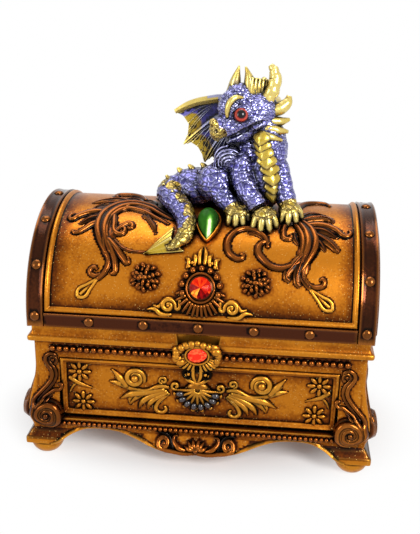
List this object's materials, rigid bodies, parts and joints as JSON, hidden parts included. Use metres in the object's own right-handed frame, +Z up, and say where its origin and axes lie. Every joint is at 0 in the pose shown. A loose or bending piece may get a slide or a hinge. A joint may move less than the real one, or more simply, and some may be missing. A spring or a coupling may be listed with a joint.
{
  "type": "treasure chest keepsake box",
  "caption": "Treasure chest keepsake box of cast resin with a hinged barrel lid, relief ornament, set stones and a young dragon seated on the lid.",
  "frame": {"origin": "middle of the footprint, on the surface the chest stands on", "axes": "+Z up, -Y to the front of the chest, +X to the right seen from the front"},
  "size_m": [0.152, 0.098, 0.1619],
  "materials": {
    "gold_resin": "antiqued metallic gold paint with a dark wash, on cast resin",
    "dark_resin": "glossy dark brown paint on cast resin",
    "dragon_resin": "metallic blue-violet paint with gold dry brushing, on cast resin",
    "brass": "plain brass",
    "felt": "short pile felt",
    "red_stone": "faceted, foiled back",
    "green_stone": "smooth, pearly",
    "eye_glass": "smooth glass eye"
  },
  "bodies": {
    "base": {"base_shell": "gold_resin", "base_lining": "felt", "panel_frame_front": "gold_resin", "panel_frame_back": "gold_resin", "panel_frame_right": "gold_resin", "panel_frame_left": "gold_resin", "bead_row_upper": "gold_resin", "bead_row_lower": "gold_resin", "scroll_front_left": "gold_resin", "scroll_front_right": "gold_resin", "scroll_back_left": "gold_resin", "scroll_back_right": "gold_resin", "scroll_right_front": "gold_resin", "scroll_right_back": "gold_resin", "scroll_left_front": "gold_resin", "scroll_left_back": "gold_resin", "escutcheon": "gold_resin", "escutcheon_gem": "red_stone", "palmette": "gold_resin", "panel_spray_right": "gold_resin", "panel_spray_left": "gold_resin", "skirt_pendant": "gold_resin", "hinge_base_left": "brass", "hinge_base_right": "brass", "hinge_pin_left": "brass", "hinge_pin_right": "brass", "screw_base_1": "brass", "screw_base_2": "brass", "screw_base_3": "brass", "screw_base_4": "brass"},
    "lid": {"lid_shell": "gold_resin", "lid_strap_right": "dark_resin", "lid_strap_left": "dark_resin", "lid_band_front": "dark_resin", "lid_band_back": "dark_resin", "lid_trim": "gold_resin", "lid_end_right": "dark_resin", "lid_end_left": "dark_resin", "lid_crest": "dark_resin", "crest_gem": "red_stone", "lid_rosette_right": "gold_resin", "lid_rosette_left": "gold_resin", "lid_spray_right": "dark_resin", "lid_spray_left": "dark_resin", "drop_bezel": "gold_resin", "drop_gem": "green_stone", "dragon_figure": "dragon_resin", "dragon_wing_left": "dragon_resin", "dragon_wing_right": "dragon_resin", "dragon_eye_left": "eye_glass", "dragon_eye_right": "eye_glass", "hinge_lid_left": "brass", "hinge_lid_right": "brass", "screw_lid_1": "brass", "screw_lid_2": "brass", "screw_lid_3": "brass", "screw_lid_4": "brass"}
  },
  "joints": [
    {"name": "lid_hinge", "type": "hinge", "parent": "base", "child": "lid", "pos_m": [0, 0.0427, 0.0602], "axis": [-1, 0, 0], "range_deg": [0, 105]}
  ]
}
